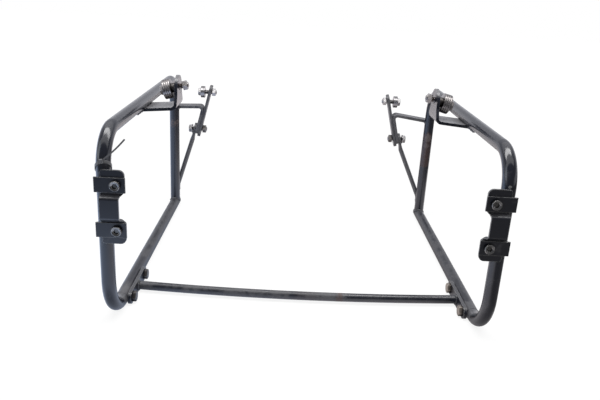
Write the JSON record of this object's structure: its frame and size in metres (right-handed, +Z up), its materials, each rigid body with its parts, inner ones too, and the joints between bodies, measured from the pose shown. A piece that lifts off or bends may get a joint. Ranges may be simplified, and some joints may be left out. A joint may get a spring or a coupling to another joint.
{
  "type": "pannier frame",
  "caption": "Welded tube pannier frame for a motorbike: two rounded side hoops joined by a bolted cross tube, with folded mounting ears, front straps and clamped rear latch plates.",
  "frame": {"origin": "on the floor under the two bottom rails, under the middle of the frame's box", "axes": "+X is the motorbike's right-hand side, +Y points forwards, +Z is up"},
  "size_m": [0.5122, 0.5206, 0.297],
  "materials": {
    "black_paint": "worn semi-gloss black paint over welded steel",
    "black_strap": "black-coated strip with rubbed edges",
    "zinc_plate": "bright zinc plate, a little dulled",
    "bush_steel": "plain threaded steel",
    "black_nylon": "moulded black nylon"
  },
  "bodies": {
    "root": {"cable_tie": "black_nylon", "cross_tube": "black_paint", "right_main_hoop": "black_paint", "right_bottom_rail": "black_paint", "right_cross_tube_flange": "black_paint", "right_top_bracket": "black_paint", "right_front_arm": "black_paint", "right_front_strap": "black_paint", "right_stay": "black_paint", "right_latch_plate": "black_paint", "right_lower_clamp_strap": "black_strap", "right_upper_clamp_strap": "black_strap", "right_flange_bolts": "zinc_plate", "right_ear_bolt": "zinc_plate", "right_ear_nut": "zinc_plate", "right_ear_washers": "zinc_plate", "right_ear_spacer": "zinc_plate", "right_strap_upper_bolt": "zinc_plate", "right_strap_upper_nut": "zinc_plate", "right_strap_upper_washers": "zinc_plate", "right_strap_lower_bolt": "zinc_plate", "right_strap_lower_nut": "zinc_plate", "right_strap_lower_washer": "zinc_plate", "right_clamp_screws": "zinc_plate", "right_clamp_nuts": "zinc_plate", "right_rail_bushes": "bush_steel", "left_main_hoop": "black_paint", "left_bottom_rail": "black_paint", "left_cross_tube_flange": "black_paint", "left_top_bracket": "black_paint", "left_front_arm": "black_paint", "left_front_strap": "black_paint", "left_stay": "black_paint", "left_latch_plate": "black_paint", "left_lower_clamp_strap": "black_strap", "left_upper_clamp_strap": "black_strap", "left_flange_bolts": "zinc_plate", "left_ear_bolt": "zinc_plate", "left_ear_nut": "zinc_plate", "left_ear_washers": "zinc_plate", "left_ear_spacer": "zinc_plate", "left_strap_upper_bolt": "zinc_plate", "left_strap_upper_nut": "zinc_plate", "left_strap_upper_washers": "zinc_plate", "left_strap_lower_bolt": "zinc_plate", "left_strap_lower_nut": "zinc_plate", "left_strap_lower_washer": "zinc_plate", "left_clamp_screws": "zinc_plate", "left_clamp_nuts": "zinc_plate", "left_rail_bushes": "bush_steel"}
  },
  "joints": []
}
